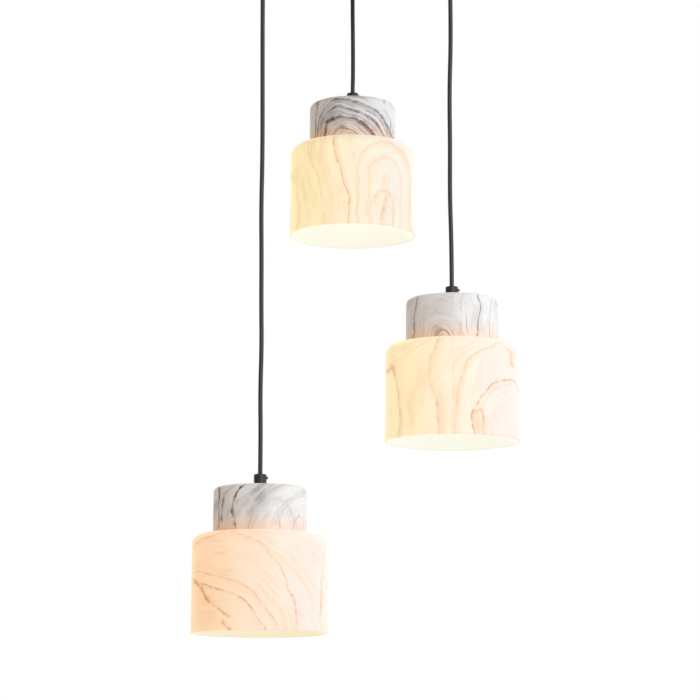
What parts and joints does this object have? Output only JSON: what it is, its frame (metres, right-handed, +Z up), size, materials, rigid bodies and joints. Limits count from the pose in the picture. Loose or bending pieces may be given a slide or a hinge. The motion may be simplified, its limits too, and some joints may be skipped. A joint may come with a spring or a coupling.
{
  "type": "cluster pendant light",
  "caption": "Cluster pendant light: round ceiling canopy with cords at staggered heights, each holding a marbled stone bowl shade with a narrower cap.",
  "frame": {"origin": "centre of the ceiling bracket's top face, on the ceiling plane", "axes": "+Z up along the cords, everything hangs at negative Z; -Y towards the side it is pictured from, +X to that side's right"},
  "size_m": [0.3624, 0.3476, 0.817],
  "materials": {
    "bowl_stone": "honed white marbled stone, lit from inside",
    "cap_stone": "honed white marbled stone with grey veins",
    "cord_jacket": "smooth black cable jacket",
    "black_metal": "satin black",
    "canopy_paint": "satin black powder coat",
    "zinc_steel": "zinc plated",
    "soft_washer": "translucent silicone",
    "white_plastic": "matt white thermoplastic",
    "porcelain": "white glaze",
    "contact_brass": "bright",
    "lamp_metal": "rolled bright",
    "opal_glass": "opal, lit",
    "block_plastic": "white polyamide",
    "earth_jacket": "green and yellow jacket"
  },
  "bodies": {
    "canopy": {"canopy_cup": "canopy_paint", "ceiling_bracket": "zinc_steel", "canopy_screws": "black_metal", "terminal_block": "block_plastic", "terminal_screws": "contact_brass", "earth_screw": "contact_brass", "earth_wire": "earth_jacket", "glands": "black_metal", "gland_nuts": "zinc_steel", "gland_screws": "black_metal", "lead_high": "cord_jacket", "lead_mid": "cord_jacket", "lead_low": "cord_jacket"},
    "cord_bend_body_high": {"cord_bend_high": "cord_jacket"},
    "cord_body_high": {"cord_high": "cord_jacket"},
    "shade_high": {"cord_grip_high": "black_metal", "grip_screw_high": "black_metal", "upper_cap_high": "cap_stone", "lower_bowl_high": "bowl_stone", "stone_washers_high": "soft_washer", "nipple_high": "zinc_steel", "lock_nut_high": "zinc_steel", "holder_shell_high": "white_plastic", "holder_core_high": "porcelain", "shade_ring_high": "white_plastic"},
    "bulb_travel_body_high": {"bulb_contact_high": "contact_brass"},
    "bulb_high": {"bulb_cap_high": "lamp_metal", "bulb_globe_high": "opal_glass"},
    "cord_bend_body_mid": {"cord_bend_mid": "cord_jacket"},
    "cord_body_mid": {"cord_mid": "cord_jacket"},
    "shade_mid": {"cord_grip_mid": "black_metal", "grip_screw_mid": "black_metal", "upper_cap_mid": "cap_stone", "lower_bowl_mid": "bowl_stone", "stone_washers_mid": "soft_washer", "nipple_mid": "zinc_steel", "lock_nut_mid": "zinc_steel", "holder_shell_mid": "white_plastic", "holder_core_mid": "porcelain", "shade_ring_mid": "white_plastic"},
    "bulb_travel_body_mid": {"bulb_contact_mid": "contact_brass"},
    "bulb_mid": {"bulb_cap_mid": "lamp_metal", "bulb_globe_mid": "opal_glass"},
    "cord_bend_body_low": {"cord_bend_low": "cord_jacket"},
    "cord_body_low": {"cord_low": "cord_jacket"},
    "shade_low": {"cord_grip_low": "black_metal", "grip_screw_low": "black_metal", "upper_cap_low": "cap_stone", "lower_bowl_low": "bowl_stone", "stone_washers_low": "soft_washer", "nipple_low": "zinc_steel", "lock_nut_low": "zinc_steel", "holder_shell_low": "white_plastic", "holder_core_low": "porcelain", "shade_ring_low": "white_plastic"},
    "bulb_travel_body_low": {"bulb_contact_low": "contact_brass"},
    "bulb_low": {"bulb_cap_low": "lamp_metal", "bulb_globe_low": "opal_glass"}
  },
  "joints": [
    {"name": "swing_side_high", "type": "hinge", "parent": "canopy", "child": "cord_bend_body_high", "pos_m": [0, 0.1226, -0.033], "axis": [0, 1, 0], "range_deg": [-6, 6]},
    {"name": "swing_fore_high", "type": "hinge", "parent": "cord_bend_body_high", "child": "cord_body_high", "pos_m": [0, 0.1226, -0.033], "axis": [1, 0, 0], "range_deg": [-10, 10]},
    {"name": "shade_turn_high", "type": "hinge", "parent": "cord_body_high", "child": "shade_high", "pos_m": [0, 0.1226, -0.16], "axis": [0, 0, 1], "range_deg": [-180, 180]},
    {"name": "bulb_travel_high", "type": "slide", "parent": "shade_high", "child": "bulb_travel_body_high", "axis": [0, 0, -1], "range_m": [0, 0.0182]},
    {"name": "bulb_turn_high", "type": "hinge", "parent": "bulb_travel_body_high", "child": "bulb_high", "pos_m": [0, 0.1226, -0.235], "axis": [0, 0, -1], "range_deg": [0, 1800]},
    {"name": "swing_side_mid", "type": "hinge", "parent": "canopy", "child": "cord_bend_body_mid", "pos_m": [0.10618, -0.0613, -0.033], "axis": [0, 1, 0], "range_deg": [-6, 6]},
    {"name": "swing_fore_mid", "type": "hinge", "parent": "cord_bend_body_mid", "child": "cord_body_mid", "pos_m": [0.10618, -0.0613, -0.033], "axis": [1, 0, 0], "range_deg": [-10, 10]},
    {"name": "shade_turn_mid", "type": "hinge", "parent": "cord_body_mid", "child": "shade_mid", "pos_m": [0.10618, -0.0613, -0.431], "axis": [0, 0, 1], "range_deg": [-180, 180]},
    {"name": "bulb_travel_mid", "type": "slide", "parent": "shade_mid", "child": "bulb_travel_body_mid", "axis": [0, 0, -1], "range_m": [0, 0.0182]},
    {"name": "bulb_turn_mid", "type": "hinge", "parent": "bulb_travel_body_mid", "child": "bulb_mid", "pos_m": [0.10618, -0.0613, -0.506], "axis": [0, 0, -1], "range_deg": [0, 1800]},
    {"name": "swing_side_low", "type": "hinge", "parent": "canopy", "child": "cord_bend_body_low", "pos_m": [-0.10618, -0.0613, -0.033], "axis": [0, 1, 0], "range_deg": [-6, 6]},
    {"name": "swing_fore_low", "type": "hinge", "parent": "cord_bend_body_low", "child": "cord_body_low", "pos_m": [-0.10618, -0.0613, -0.033], "axis": [1, 0, 0], "range_deg": [-10, 10]},
    {"name": "shade_turn_low", "type": "hinge", "parent": "cord_body_low", "child": "shade_low", "pos_m": [-0.10618, -0.0613, -0.642], "axis": [0, 0, 1], "range_deg": [-180, 180]},
    {"name": "bulb_travel_low", "type": "slide", "parent": "shade_low", "child": "bulb_travel_body_low", "axis": [0, 0, -1], "range_m": [0, 0.0182]},
    {"name": "bulb_turn_low", "type": "hinge", "parent": "bulb_travel_body_low", "child": "bulb_low", "pos_m": [-0.10618, -0.0613, -0.717], "axis": [0, 0, -1], "range_deg": [0, 1800]}
  ],
  "couplings": [
    {"joint": "bulb_travel_high", "follows": "bulb_turn_high", "m_per_rad": 0.00057757},
    {"joint": "bulb_travel_mid", "follows": "bulb_turn_mid", "m_per_rad": 0.00057757},
    {"joint": "bulb_travel_low", "follows": "bulb_turn_low", "m_per_rad": 0.00057757}
  ]
}
